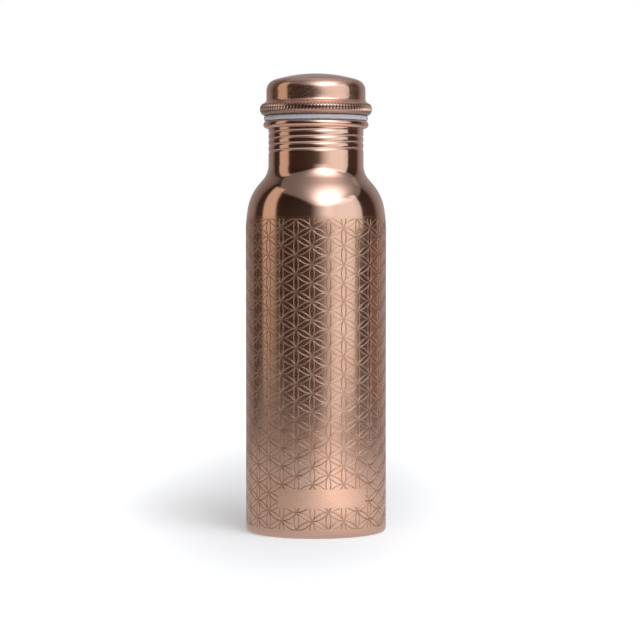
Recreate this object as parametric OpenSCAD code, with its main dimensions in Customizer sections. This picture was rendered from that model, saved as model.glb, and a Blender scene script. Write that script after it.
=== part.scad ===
// Copper water bottle with a screw stopper.
// The stopper is a domed lid crimped round the flange of a threaded cup, over a loose gasket.
// Millimetres, +Z up, origin at the centre of the foot.

/* [Barrel] */
// Outside diameter of the straight barrel
body_d = 70; // [60:1:90]
// Height at which the straight barrel ends and the shoulder begins
barrel_top = 150; // [100:1:200]
// Thickness of the copper sheet
wall = 0.6; // [0.5:0.1:1]
// Outside radius of the rounding at the bottom edge
foot_round = 2; // [1.2:0.1:4]
// Width of the flat hem that the bottle stands on
hem_w = 2.5; // [1.5:0.1:4]

/* [Shoulder] */
// Slope of the shoulder at its steepest, measured from the vertical
shoulder_slope = 41; // [35:1:50]
// Slope at which the slow first curve hands over to the tighter one
shoulder_ease = 9.9; // [6:0.1:14]
// Radius of the slow curve where the barrel starts to close in
ease_r = 67; // [50:1:80]
// Radius of the tighter curve above it
shoulder_r = 24.8; // [20:0.2:28]
// Radius of the hollow curve that runs up into the neck
neck_fillet_r = 11.2; // [8:0.2:13]

/* [Neck] */
// Outside diameter of the neck
neck_d = 47.4; // [45:0.2:49]
// Height of the neck from the end of the shoulder to the top of the mouth
neck_h = 21.8; // [21.4:0.1:24]
// Outside diameter of the round curled bead at the mouth, across its section
curl_d = 3.8; // [3:0.1:4.5]
// How far the curled bead stands out from the neck
curl_out = 2.55; // [2.2:0.05:2.8]
// Gap between the neck and the end of the curled sheet
curl_gap = 0.3; // [0.2:0.1:0.6]
// Plain neck between the curled bead and the top of the thread
thread_clear = 0.8; // [0.4:0.1:1]

/* [Thread] */
// Rise of the thread in one turn
thread_pitch = 3.1; // [2.8:0.1:3.6]
// Turns of thread in the neck
thread_turns = 4; // [2:0.25:4]
// Turns of thread on the plug
plug_turns = 3.25; // [1.5:0.25:3.25]
// Depth of the thread
thread_depth = 0.6; // [0.4:0.05:0.8]
// Space between the neck and the plug, on the radius
thread_gap = 0.2; // [0.15:0.05:0.3]
// Width of a thread ridge at its foot
ridge_foot_w = 1.5; // [1.2:0.1:1.6]
// Width of a thread ridge at its crest
ridge_crest_w = 0.6; // [0.4:0.1:0.8]
// Depth of the crease that the rolled thread leaves on the outside of the neck
crease_depth = 0.4; // [0.2:0.05:0.5]

/* [Gasket] */
// Height of the gasket
gasket_h = 2.3; // [2:0.1:4]
// Outside diameter of the gasket
gasket_d = 51.9; // [50:0.1:53]
// Space between the gasket and the faces above and below it
gasket_gap = 0.05; // [0.02:0.01:0.1]

/* [Cap] */
// Outside diameter of the lid above its bead
lid_d = 49.4; // [48:0.2:51]
// Height of the lid, from the underside of its bead to the top of the dome
lid_h = 21.1; // [18:0.1:24]
// Radius of the dome
crown_r = 70; // [60:1:120]
// Radius of the rounding between the dome and the side
crown_corner_r = 5.5; // [4:0.1:7]
// Largest diameter of the knurled bead
bead_d = 55.8; // [55:0.2:57]
// Radius of the upper half of the bead
bead_upper_r = 3; // [2.6:0.1:3.2]
// Radius of the lower half of the bead
bead_lower_r = 3.1; // [2.4:0.1:3.2]
// Straight between the two halves of the bead
bead_flat = 0.5; // [0.2:0.1:1]
// Radius of the hollow between the side of the lid and the bead
bead_fillet_r = 2; // [1:0.1:3]
// How far the edge of the bead stops short of the plug
crimp_gap = 1.3; // [0.8:0.1:2]
// Depth of the threaded cup below the underside of the bead
plug_depth = 20.2; // [18:0.1:22]
// Rounding at the bottom edge of the threaded cup
plug_round = 2; // [1:0.1:3]

/* [Base] */
// Height of the recess under the bottle
base_recess = 4.2; // [2:0.1:8]
// Rise of the slightly domed middle of the base disc
base_dome = 1.2; // [0.4:0.1:3]

/* [Hidden] */
$fn = 96;
arc_steps = 10;
thread_steps = 40;
// How deep a thread ridge reaches into the wall behind it
overlap = 0.25;
// Height of a ridge at its faded ends, as a share of its full height
faded = 0.08;
// Turns over which a ridge fades in or out
fade_turns = 1 / 3;

body_r = body_d / 2;
neck_r = neck_d / 2;
neck_bore_r = neck_r - wall;
lid_r = lid_d / 2;

// The shoulder is a slow curve, a tighter one, a short straight and a hollow one, all tangent.
ease_c = [body_r - ease_r, barrel_top];
shoulder_c = ease_c + (ease_r - shoulder_r) * [cos(shoulder_ease), sin(shoulder_ease)];
slope_dir = [-sin(shoulder_slope), cos(shoulder_slope)];
slope_out = [cos(shoulder_slope), sin(shoulder_slope)];
slope_foot = shoulder_c + shoulder_r * slope_out;
fillet_in = neck_fillet_r * (1 - cos(shoulder_slope));
slope_len = (slope_foot[0] - neck_r - fillet_in) / sin(shoulder_slope);
slope_head = slope_foot + slope_len * slope_dir;
fillet_c = slope_head + neck_fillet_r * slope_out;
neck_bottom = fillet_c[1];
mouth_z = neck_bottom + neck_h;

curl_r = curl_d / 2;
curl_c = [neck_r + curl_out - curl_r, mouth_z - curl_r];
curl_inside_z = curl_c[1] + sqrt(curl_r * curl_r - pow(curl_c[0] - neck_bore_r, 2));

thread_top = mouth_z - curl_d - thread_clear;
thread_bottom = thread_top - thread_pitch * thread_turns;

gasket_z = mouth_z + gasket_gap;
bead_z = gasket_z + gasket_h + gasket_gap;
lower_c = [bead_d / 2 - bead_lower_r, bead_z + bead_lower_r];
upper_c = [bead_d / 2 - bead_upper_r, lower_c[1] + bead_flat];
fillet_reach = bead_upper_r + bead_fillet_r;
lid_fillet_c = [
  lid_r + bead_fillet_r,
  upper_c[1] + sqrt(pow(fillet_reach, 2) - pow(lid_r + bead_fillet_r - upper_c[0], 2))
];
bead_join = atan2(lid_fillet_c[1] - upper_c[1], lid_fillet_c[0] - upper_c[0]);
lid_top = bead_z + lid_h;
crown_c = [0, lid_top - crown_r];
corner_c = [
  lid_r - crown_corner_r,
  crown_c[1] + sqrt(pow(crown_r - crown_corner_r, 2) - pow(lid_r - crown_corner_r, 2))
];
crown_join = atan2(corner_c[1] - crown_c[1], corner_c[0]);

plug_r = neck_bore_r - thread_gap;
crimp_r = plug_r + crimp_gap;
plug_root_r = plug_r - thread_depth;
plug_bottom = bead_z - plug_depth;
flange_z = bead_z + wall;
collar_bottom = thread_top + thread_pitch;

skirt_r = body_r - wall;
hem_inner_r = body_r - foot_round - hem_w;
disc_r = skirt_r - wall;
disc_dome_r = (disc_r * disc_r + base_dome * base_dome) / (2 * base_dome);
disc_dome_c = [0, base_recess + wall + base_dome - disc_dome_r];
disc_edge = 90 - asin(disc_r / disc_dome_r);

copper = [0.72, 0.42, 0.30];
silicone = [0.90, 0.90, 0.88];

// Points on an arc about c, from angle a to angle b.
function arc(c, r, a, b) =
  [for (i = [0:arc_steps]) c + r * [cos(a + (b - a) * i / arc_steps), sin(a + (b - a) * i / arc_steps)]];

// The bottle's half outline from the hem to the top of the neck, moved in by t.
function body_outline(t, top) = concat(
  [[hem_inner_r, t]],
  arc([body_r - foot_round, foot_round], foot_round - t, -90, 0),
  arc(ease_c, ease_r - t, 0, shoulder_ease),
  arc(shoulder_c, shoulder_r - t, shoulder_ease, shoulder_slope),
  arc(fillet_c, -neck_fillet_r - t, shoulder_slope, 0),
  [[neck_r - t, top]]
);

// The lid's half outline from the crimped edge to the top of the dome, moved in by t.
function lid_outline(t) = concat(
  [[crimp_r, bead_z + t]],
  arc(lower_c, bead_lower_r - t, -90, 0),
  arc(upper_c, bead_upper_r - t, 0, bead_join),
  arc(lid_fillet_c, -bead_fillet_r - t, bead_join, 0),
  arc(corner_c, crown_corner_r - t, 0, crown_join),
  arc(crown_c, crown_r - t, crown_join, 90)
);

function reversed(list) = [for (i = [len(list) - 1:-1:0]) list[i]];

// A helical ridge that starts at angle 0 and fades in and out.
// side is 1 for a ridge that stands out from radius foot_r, and -1 for one that stands in.
module helix_ridge(foot_r, depth, side, z, turns, foot_w, crest_w) {
  count = round(turns * thread_steps);
  fade = fade_turns * thread_steps;
  points = [
    for (i = [0:count])
      let (
        a = 360 * i / thread_steps,
        grow = max(faded, min(1, i / fade, (count - i) / fade)),
        mid_z = z + thread_pitch * i / thread_steps,
        back = foot_r - side * overlap,
        crest = foot_r + side * depth * grow,
        half = (crest_w + (foot_w - crest_w) * (1 + overlap / depth)) / 2
      )
      for (p = [[back, -half], [crest, -crest_w / 2], [crest, crest_w / 2], [back, half]])
        [p[0] * cos(a), p[0] * sin(a), mid_z + p[1]]
  ];
  walls = [
    for (i = [0:count - 1], k = [0:3])
      let (m = (k + 1) % 4, p = 4 * i)
      [p + k, p + m, p + 4 + m, p + 4 + k]
  ];
  faces = concat([[3, 2, 1, 0]], walls, [[for (k = [0:3]) 4 * count + k]]);
  polyhedron(points = points, faces = side > 0 ? faces : [for (f = faces) reversed(f)], convexity = 10);
}

// The curled bead at the mouth, open underneath where the end of the sheet stops short of the neck.
module curl_section() {
  difference() {
    translate(curl_c) circle(r = curl_r);
    translate(curl_c) circle(r = curl_r - wall);
    translate([0, mouth_z - curl_d]) square([neck_bore_r, curl_d]);
    translate([0, mouth_z - curl_d]) square([neck_r + curl_gap, curl_r]);
  }
}

module bottle_body() color(copper) {
  difference() {
    union() {
      rotate_extrude()
        polygon(concat(body_outline(0, curl_inside_z), reversed(body_outline(wall, curl_inside_z))));
      rotate_extrude() curl_section();
      helix_ridge(neck_bore_r, thread_depth, -1, thread_bottom, thread_turns, ridge_foot_w, ridge_crest_w);
    }
    helix_ridge(neck_r, crease_depth, -1, thread_bottom, thread_turns, ridge_crest_w * 2, ridge_crest_w / 2);
  }
}

// A pressed disc whose skirt is soldered to the inside of the barrel, just above the hem.
module base_disc() color(copper) {
  rotate_extrude()
    polygon(concat(
      [[disc_r, foot_round], [skirt_r, foot_round], [skirt_r, base_recess + wall]],
      arc(disc_dome_c, disc_dome_r, disc_edge, 90),
      arc(disc_dome_c, disc_dome_r - wall, 90, disc_edge)
    ));
}

module cap_gasket() color(silicone) {
  rotate_extrude()
    translate([plug_r + thread_gap, gasket_z]) square([gasket_d / 2 - plug_r - thread_gap, gasket_h]);
}

module cap_shell() color(copper) {
  rotate_extrude()
    polygon(concat(lid_outline(0), reversed(lid_outline(wall))));
}

// A hollow threaded cup with a collar for the gasket and a flange held by the lid's bead.
module cap_plug() color(copper) {
  rotate_extrude()
    polygon(concat(
      [[0, plug_bottom]],
      arc([plug_root_r - plug_round, plug_bottom + plug_round], plug_round, -90, 0),
      [[plug_root_r, collar_bottom], [plug_r, collar_bottom + thread_depth], [plug_r, flange_z]],
      [[lower_c[0], flange_z], [lower_c[0], flange_z + wall], [plug_root_r - wall, flange_z + wall]],
      arc([plug_root_r - plug_round, plug_bottom + plug_round], plug_round - wall, 0, -90),
      [[0, plug_bottom + wall]]
    ));
  helix_ridge(plug_root_r, thread_depth, 1, thread_bottom + thread_pitch / 2, plug_turns,
    ridge_foot_w, ridge_crest_w);
}

bottle_body();
base_disc();
cap_gasket();
cap_shell();
cap_plug();
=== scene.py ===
"""The looks of the copper water bottle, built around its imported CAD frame.

The bottle's sizes are in millimetres and become metres where a mesh is made. Angles round the bottle are
in degrees: "turn" is measured from the +X axis towards +Y, and "front" from the -Y axis towards +X.
"""

import bmesh
import bpy
import numpy as np
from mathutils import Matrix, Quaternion, Vector


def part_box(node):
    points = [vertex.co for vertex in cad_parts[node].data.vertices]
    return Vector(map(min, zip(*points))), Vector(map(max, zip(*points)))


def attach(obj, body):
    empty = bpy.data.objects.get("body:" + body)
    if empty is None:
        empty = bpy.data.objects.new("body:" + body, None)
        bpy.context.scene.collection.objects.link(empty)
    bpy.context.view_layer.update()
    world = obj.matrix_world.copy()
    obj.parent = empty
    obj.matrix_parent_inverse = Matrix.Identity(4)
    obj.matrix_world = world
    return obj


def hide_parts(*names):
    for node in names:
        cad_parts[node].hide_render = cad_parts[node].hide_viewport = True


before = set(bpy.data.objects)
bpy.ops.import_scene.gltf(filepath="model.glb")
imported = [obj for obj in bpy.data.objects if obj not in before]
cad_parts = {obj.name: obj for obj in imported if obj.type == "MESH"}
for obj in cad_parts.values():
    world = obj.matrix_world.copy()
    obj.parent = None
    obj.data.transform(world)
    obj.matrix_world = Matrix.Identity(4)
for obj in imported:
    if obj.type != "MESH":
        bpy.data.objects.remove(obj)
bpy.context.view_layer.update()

MM = 0.001


def box_mm(node):
    """A CAD node's lowest and highest corner, in millimetres."""
    low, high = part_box(node)
    return np.array(low) / MM, np.array(high) / MM


# ---------------------------------------------------------------- sizes taken from the frame
body_low, body_high = box_mm("bottle_body")
disc_low, disc_high = box_mm("base_disc")
gasket_low, gasket_high = box_mm("cap_gasket")
lid_low, lid_high = box_mm("cap_shell")
plug_low, plug_high = box_mm("cap_plug")

BODY_R = body_high[0]
MOUTH_Z = body_high[2]
BEAD_R = lid_high[0]
BEAD_Z = lid_low[2]
LID_TOP = lid_high[2]
PLUG_BOTTOM = plug_low[2]
FLANGE_TOP = plug_high[2]
FLANGE_R = plug_high[0]

# ---------------------------------------------------------------- sizes of the design
WALL = 0.6
BARREL_TOP = 150
FOOT_ROUND = 2
HEM_W = 2.5
SHOULDER_SLOPE = 41
SHOULDER_EASE = 9.9
EASE_R = 67
SHOULDER_R = 24.8
NECK_FILLET_R = 11.2
NECK_R = 23.7
CURL_R = 1.9
CURL_OUT = 2.55
CURL_GAP = 0.3
THREAD_PITCH = 3.1
THREAD_TURNS = 4
PLUG_TURNS = 3.25
THREAD_CLEAR = 0.8
THREAD_DEPTH = 0.6
THREAD_GAP = 0.2
THREAD_FADE = 0.4
CREASE_DEPTH = 0.45
CREASE_W = 0.34
CREASE_SHARE = 0.62
CREST_HALF_W = 0.15
FLANK_W = 0.65
LID_R = 24.7
CROWN_R = 70
CROWN_CORNER_R = 5.5
BEAD_UPPER_R = 3
BEAD_LOWER_R = 3.1
BEAD_FLAT = 0.5
BEAD_FILLET_R = 2
CRIMP_GAP = 1.3
PLUG_ROUND = 2
GASKET_EDGE_R = 0.45
GASKET_BULGE = 0.12
GASKET_FULL_H = 1.0
BASE_DOME = 1.2
BASE_CORNER_R = 1
BASE_SKIRT_DROP = 1.8
BASE_BEAD_R = 24
BASE_BEAD_DEPTH = 0.7
BASE_BEAD_W = 1.3

# The sizes and angles that follow from those above.
BORE_R = NECK_R - WALL
PLUG_R = BORE_R - THREAD_GAP
PLUG_ROOT_R = PLUG_R - THREAD_DEPTH
THREAD_TOP = MOUTH_Z - 2 * CURL_R - THREAD_CLEAR
THREAD_BOTTOM = THREAD_TOP - THREAD_PITCH * THREAD_TURNS

# The two heights between which the neck has close rows, for its thread.
THREAD_ZONE = (THREAD_BOTTOM - 1, THREAD_TOP + 0.6)

# Points nearer than this, in millimetres, are the same point.
SAME_MM = 1e-3

# ---------------------------------------------------------------- sizes of the etched pattern
COLUMNS = 28
PATTERN_LOW = 4.2
PATTERN_HIGH = 156.0
PATTERN_ROWS = 17
FIRST_COLUMN_FRONT = -3.0
GROOVE_W = 0.54
GROOVE_WALL = 0.09
GROOVE_DEPTH = 0.11
ARC_STEPS = 5
PANEL_LOW = 15.0
PANEL_HIGH = 24.1
PANEL_LEFT = -32.0
PANEL_RIGHT = 44.0
TRIM_LOW = 2.6
TRIM_HIGH = 157.0
STITCH = 0.5

PITCH = (PATTERN_HIGH - PATTERN_LOW) / PATTERN_ROWS
COLUMN_DEG = 360 / COLUMNS
HALF_ROW = np.sqrt(3) / 2
WALL_DEG = np.degrees(GROOVE_WALL / BODY_R)

# How far round the blank panel, in degrees and in millimetres, its edges are looked for.
PANEL_REACH = 8

# ---------------------------------------------------------------- sizes of the knurling
KNURL_TEETH = 102
KNURL_DEPTH = 0.7
KNURL_SLANT = 0.42
KNURL_PROFILE = np.array([1.0, 0.75, 0.0, 0.0, 0.75, 1.0])
KNURL_TOP = BEAD_Z + 5.4
KNURL_SPINE = BEAD_Z + 3.7
KNURL_LOW = BEAD_Z + 1.8
KNURL_SPINE_RISE = 0.45
KNURL_SPINE_W = 0.2
KNURL_END = 0.2
KNURL_CLEAR = 0.05
KNURL_OFF_WALL = 0.5
# Painted shade in the knurl: faces with at least this many corners deeper than this share of the knurl's
# depth get near-black copper.
KNURL_SHADE_DEPTH = 0.3
KNURL_SHADE_CORNERS = 3
# Below this height the bead gets darker copper, painted shade on the knurled band, together with a rougher
# finish.
BEAD_SHADE_AND_FINISH_TOP = KNURL_TOP + 0.2

# ---------------------------------------------------------------- the meshes' rows, columns and sharp edges
BOTTLE_COLUMNS = 140
PLUG_COLUMNS = 160
RING_COLUMNS = 128
NECK_ROWS = 60
BORE_ROWS = 38
PLUG_ROWS = 66
BASE_ROWS = 34
SHELL_SHARP = 75
PIECE_SHARP = 38

# Kinds of the bottle's faces: the polished fields, the grooves' floors and sides, and the turned rest.
FLAT, FLOOR, GROOVE_SIDE, TURNED = range(4)

# ---------------------------------------------------------------- outlines, as (radius, height) points


def arc(centre, radius, start, end, steps):
    """Points on an arc about centre, from angle start to angle end."""
    a = np.radians(np.linspace(start, end, steps + 1))
    return np.column_stack([centre[0] + radius * np.cos(a), centre[1] + radius * np.sin(a)])


def line(start, end, steps=1):
    """Points on a straight from start to end."""
    return np.linspace(start, end, steps + 1)


def joined(*parts):
    """The parts as one outline, without the points that two parts share."""
    points = np.vstack(parts)
    keep = np.r_[True, np.linalg.norm(np.diff(points, axis=0), axis=1) > SAME_MM]
    return points[keep]


def direction(angle):
    """A step of length 1 at an angle, 0 being straight outward and 90 straight up."""
    return np.array([np.cos(np.radians(angle)), np.sin(np.radians(angle))])


ease_c = np.array([BODY_R - EASE_R, BARREL_TOP])
shoulder_c = ease_c + (EASE_R - SHOULDER_R) * direction(SHOULDER_EASE)
slope_foot = shoulder_c + SHOULDER_R * direction(SHOULDER_SLOPE)
fillet_in = NECK_FILLET_R * (1 - np.cos(np.radians(SHOULDER_SLOPE)))
slope_len = (slope_foot[0] - NECK_R - fillet_in) / np.sin(np.radians(SHOULDER_SLOPE))
slope_head = slope_foot + slope_len * direction(SHOULDER_SLOPE + 90)
fillet_c = slope_head + NECK_FILLET_R * direction(SHOULDER_SLOPE)
NECK_BOTTOM = fillet_c[1]
curl_c = np.array([NECK_R + CURL_OUT - CURL_R, MOUTH_Z - CURL_R])


def angle_at_radius(centre, radius, r):
    """The angle at which an arc reaches distance r from the bottle's axis."""
    return np.degrees(np.arccos((r - centre[0]) / radius))


def angle_at_height(centre, radius, z):
    """The angle at which an arc reaches height z."""
    return np.degrees(np.arcsin((z - centre[1]) / radius))


def barrel_radius(z):
    """Outside radius of the barrel and of the slow curve above it."""
    rise = np.clip(z - BARREL_TOP, 0, None)
    return ease_c[0] + np.sqrt(EASE_R**2 - rise**2)


def barrel_normal(points):
    """Exact outward directions of the barrel at points in millimetres."""
    rise = np.clip(points[:, 2] - BARREL_TOP, 0, None)
    slope = np.arcsin(rise / EASE_R)
    turn = np.arctan2(points[:, 1], points[:, 0])
    return np.column_stack([np.cos(slope) * np.cos(turn), np.cos(slope) * np.sin(turn), np.sin(slope)])


def shell_outline():
    """From just above the etched barrel, over the mouth, down the inside and round the foot to below it."""
    start = angle_at_height(ease_c, EASE_R, TRIM_HIGH + STITCH)
    inner_r = CURL_R - WALL
    hollow_top = angle_at_radius(curl_c, inner_r, NECK_R)
    inner_end = -angle_at_radius(curl_c, inner_r, NECK_R + CURL_GAP)
    outer_end = -angle_at_radius(curl_c, CURL_R, NECK_R + CURL_GAP)
    bore_top = angle_at_radius(curl_c, CURL_R, BORE_R)
    hollow_z = curl_c[1] + inner_r * np.sin(np.radians(hollow_top))
    bore_z = curl_c[1] + CURL_R * np.sin(np.radians(bore_top))
    foot_c = np.array([BODY_R - FOOT_ROUND, FOOT_ROUND])
    hem_r = foot_c[0] - HEM_W
    return joined(
        arc(ease_c, EASE_R, start, SHOULDER_EASE, 3),
        arc(shoulder_c, SHOULDER_R, SHOULDER_EASE, SHOULDER_SLOPE, 14),
        arc(fillet_c, -NECK_FILLET_R, SHOULDER_SLOPE, 0, 12),
        line((NECK_R, NECK_BOTTOM), (NECK_R, THREAD_ZONE[0]), 2),
        line((NECK_R, THREAD_ZONE[0]), (NECK_R, THREAD_ZONE[1]), NECK_ROWS),
        line((NECK_R, THREAD_ZONE[1]), (NECK_R, hollow_z), 3),
        arc(curl_c, inner_r, hollow_top, inner_end, 10),
        arc(curl_c, CURL_R, outer_end, bore_top, 20),
        line((BORE_R, bore_z), (BORE_R, THREAD_ZONE[1]), 2),
        line((BORE_R, THREAD_ZONE[1]), (BORE_R, THREAD_ZONE[0]), BORE_ROWS),
        line((BORE_R, THREAD_ZONE[0]), (BORE_R, NECK_BOTTOM), 2),
        arc(fillet_c, -NECK_FILLET_R - WALL, 0, SHOULDER_SLOPE, 5),
        arc(shoulder_c, SHOULDER_R - WALL, SHOULDER_SLOPE, SHOULDER_EASE, 6),
        arc(ease_c, EASE_R - WALL, SHOULDER_EASE, 0, 3),
        line((BODY_R - WALL, BARREL_TOP), (BODY_R - WALL, FOOT_ROUND), 3),
        arc(foot_c, FOOT_ROUND - WALL, 0, -90, 4),
        line((foot_c[0], WALL), (hem_r, WALL)),
        arc((hem_r, WALL / 2), WALL / 2, 90, 270, 4),
        line((hem_r, 0), (foot_c[0], 0), 2),
        arc(foot_c, FOOT_ROUND, -90, 0, 8),
        [[BODY_R, TRIM_LOW - STITCH / 2]],
    )


def lid_arcs():
    """Centres and joining angles of the lid's arcs."""
    lower_c = np.array([BEAD_R - BEAD_LOWER_R, BEAD_Z + BEAD_LOWER_R])
    upper_c = np.array([BEAD_R - BEAD_UPPER_R, lower_c[1] + BEAD_FLAT])
    reach = BEAD_UPPER_R + BEAD_FILLET_R
    fillet_x = LID_R + BEAD_FILLET_R
    hollow_c = np.array([fillet_x, upper_c[1] + np.sqrt(reach**2 - (fillet_x - upper_c[0]) ** 2)])
    bead_join = np.degrees(np.arctan2(*(hollow_c - upper_c)[::-1]))
    crown_c = np.array([0, LID_TOP - CROWN_R])
    corner_x = LID_R - CROWN_CORNER_R
    corner_c = np.array([corner_x, crown_c[1] + np.sqrt((CROWN_R - CROWN_CORNER_R) ** 2 - corner_x**2)])
    crown_join = np.degrees(np.arctan2(*(corner_c - crown_c)[::-1]))
    return lower_c, upper_c, hollow_c, bead_join, corner_c, crown_c, crown_join


def lid_outline():
    """The dome's outside down to the crimped edge, and its inside from there back to the top."""
    lower_c, upper_c, hollow_c, bead_join, corner_c, crown_c, crown_join = lid_arcs()
    crimp_r = PLUG_R + CRIMP_GAP
    outside = joined(
        arc(crown_c, CROWN_R, 90, crown_join, 14),
        arc(corner_c, CROWN_CORNER_R, crown_join, 0, 12),
        line((LID_R, corner_c[1]), (LID_R, hollow_c[1]), 3),
        arc(hollow_c, -BEAD_FILLET_R, 0, bead_join, 6),
        arc(upper_c, BEAD_UPPER_R, bead_join, 0, 16),
        arc(lower_c, BEAD_LOWER_R, 0, -90, 12),
        line((lower_c[0], BEAD_Z), (crimp_r + WALL / 2, BEAD_Z)),
    )
    inside = joined(
        arc((crimp_r + WALL / 2, BEAD_Z + WALL / 2), -WALL / 2, 90, -90, 4),
        arc(lower_c, BEAD_LOWER_R - WALL, -90, 0, 5),
        arc(upper_c, BEAD_UPPER_R - WALL, 0, bead_join, 6),
        arc(hollow_c, -BEAD_FILLET_R - WALL, bead_join, 0, 4),
        arc(corner_c, CROWN_CORNER_R - WALL, 0, crown_join, 5),
        arc(crown_c, CROWN_R - WALL, crown_join, 90, 6),
    )
    return outside, inside


def plug_outline():
    """From the middle of the cup's bottom up the outside, over the flange and back down the inside."""
    corner = (PLUG_ROOT_R - PLUG_ROUND, PLUG_BOTTOM + PLUG_ROUND)
    collar_z = THREAD_TOP + THREAD_PITCH
    flange_z = FLANGE_TOP - WALL
    inner_r = PLUG_ROOT_R - WALL
    return joined(
        line((0, PLUG_BOTTOM), (corner[0], PLUG_BOTTOM), 6),
        arc(corner, PLUG_ROUND, -90, 0, 7),
        line((PLUG_ROOT_R, corner[1]), (PLUG_ROOT_R, collar_z), PLUG_ROWS),
        line((PLUG_ROOT_R, collar_z), (PLUG_R, collar_z + THREAD_DEPTH), 3),
        line((PLUG_R, collar_z + THREAD_DEPTH), (PLUG_R, flange_z), 2),
        line((PLUG_R, flange_z), (FLANGE_R - WALL / 2, flange_z), 2),
        arc((FLANGE_R - WALL / 2, FLANGE_TOP - WALL / 2), WALL / 2, -90, 90, 4),
        line((FLANGE_R - WALL / 2, FLANGE_TOP), (inner_r, FLANGE_TOP), 3),
        line((inner_r, FLANGE_TOP), (inner_r, corner[1]), 8),
        arc(corner, PLUG_ROUND - WALL, 0, -90, 4),
        line((corner[0], PLUG_BOTTOM + WALL), (0, PLUG_BOTTOM + WALL), 4),
    )


def gasket_outline():
    """A ring of soft silicone with rounded edges, its outside a little full between the two faces."""
    edge = GASKET_EDGE_R
    low, high = gasket_low[2], gasket_high[2]
    inner, outer = PLUG_R + THREAD_GAP, gasket_high[0]
    crown = outer - GASKET_BULGE
    side = outer - GASKET_BULGE / 4
    middle = (low + high) / 2
    return joined(
        arc((inner + edge, low + edge), edge, 180, 270, 4),
        line((inner + edge, low), (crown - edge, low), 3),
        arc((crown - edge, low + edge), edge, -90, 0, 6),
        [[side, middle - GASKET_FULL_H / 2], [outer, middle], [side, middle + GASKET_FULL_H / 2]],
        arc((crown - edge, high - edge), edge, 0, 90, 6),
        line((crown - edge, high), (inner + edge, high), 3),
        arc((inner + edge, high - edge), edge, 90, 180, 4),
    )


def disc_outline():
    """The underside and the top of the base disc, from its middle out to its skirt and back."""
    skirt_r = BODY_R - WALL
    disc_r = skirt_r - WALL
    rim_z = disc_high[2] - BASE_DOME
    dome_r = (disc_r**2 + BASE_DOME**2) / (2 * BASE_DOME)
    reach = np.linspace(0, disc_r - BASE_CORNER_R, BASE_ROWS)
    dome = disc_high[2] - dome_r + np.sqrt(dome_r**2 - reach**2)
    bead = BASE_BEAD_DEPTH * np.exp(-(((reach - BASE_BEAD_R) / BASE_BEAD_W) ** 2))
    top = np.column_stack([reach, dome - bead])
    end_r, end_z = top[-1]
    outer_corner_r = BASE_CORNER_R + WALL
    return joined(
        top - [0, WALL],
        arc((end_r, end_z - outer_corner_r), BASE_CORNER_R, 90, 0, 5),
        line((disc_r, rim_z - BASE_SKIRT_DROP), (disc_r, FOOT_ROUND)),
        line((skirt_r, FOOT_ROUND), (skirt_r, end_z - outer_corner_r), 2),
        arc((end_r, end_z - outer_corner_r), outer_corner_r, 0, 90, 6),
        top[::-1],
    )


# ---------------------------------------------------------------- relief on the turned surfaces


def smooth(x):
    """0 up to 0, 1 from 1, and an S-shaped rise between."""
    x = np.clip(x, 0, 1)
    return x * x * (3 - 2 * x)


def helix(turn, z, bottom, turns):
    """The distance along the axis from the nearest thread ridge, and how far that ridge has faded in."""
    along = (z - bottom) / THREAD_PITCH - turn / 360
    ridge = np.clip(np.round(along), 0, None)
    travelled = ridge + turn / 360
    fade = smooth(travelled / THREAD_FADE) * smooth((turns - travelled) / THREAD_FADE)
    return (along - ridge) * THREAD_PITCH, fade


def crease_relief(turn, z):
    """The back of the rolled thread on the outside of the neck: narrow creases between rounded ridges."""
    off, fade = helix(turn, z, THREAD_BOTTOM, THREAD_TURNS)
    crease = np.exp(-((off / CREASE_W) ** 2))
    hollow = np.clip(1 - np.abs(off) / (THREAD_PITCH / 2), 0, 1) ** 2
    return -CREASE_DEPTH * fade * (CREASE_SHARE * crease + (1 - CREASE_SHARE) * hollow)


def ridge_relief(turn, z, bottom, turns):
    """A rolled thread ridge with a rounded crest."""
    off, fade = helix(turn, z, bottom, turns)
    return THREAD_DEPTH * fade * (1 - smooth((np.abs(off) - CREST_HALF_W) / FLANK_W))


# ---------------------------------------------------------------- meshes


def turned(outline, columns, shift=None):
    """Radius, height and turn of an outline's points carried round the axis, each as rows x columns.

    Shift is how far each row is turned on from where it would be, in degrees.
    """
    turn = np.tile(np.arange(columns) * 360 / columns, (len(outline), 1))
    if shift is not None:
        turn = turn + shift[:, None]
    return outline[:, 0, None] + 0 * turn, outline[:, 1, None] + 0 * turn, turn


def to_points(r, z, turn):
    """Points as x, y and z."""
    a = np.radians(turn)
    return np.stack([r * np.cos(a), r * np.sin(a), z], axis=-1)


def grid_faces(rows, columns, first=0, closed=False):
    """Quads between neighbouring rows of a grid round the axis, and from last row to first if closed."""
    i, j = np.meshgrid(np.arange(rows if closed else rows - 1), np.arange(columns), indexing="ij")
    k = (j + 1) % columns
    n = (i + 1) % rows
    corners = [i * columns + j, i * columns + k, n * columns + k, n * columns + j]
    return first + np.stack(corners, axis=-1).reshape(-1, 4)


def new_object(name, points, faces):
    """A smooth-shaded mesh object from points in millimetres."""
    mesh = bpy.data.meshes.new(name)
    mesh.from_pydata((np.asarray(points) * MM).tolist(), [], [list(f) for f in faces])
    mesh.shade_smooth()
    obj = bpy.data.objects.new(name, mesh)
    bpy.context.scene.collection.objects.link(obj)
    return obj


def clean(obj):
    """Welds poles and seams, turns every face outward and keeps real edges sharp."""
    bm = bmesh.new()
    bm.from_mesh(obj.data)
    bmesh.ops.remove_doubles(bm, verts=bm.verts, dist=SAME_MM * MM)
    bmesh.ops.dissolve_degenerate(bm, edges=bm.edges, dist=SAME_MM * MM / 2)
    bmesh.ops.recalc_face_normals(bm, faces=bm.faces)
    bm.to_mesh(obj.data)
    bm.free()
    obj.data.shade_smooth()
    obj.data.set_sharp_from_angle(angle=np.radians(PIECE_SHARP))
    return obj


# ---------------------------------------------------------------- the etched barrel


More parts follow.
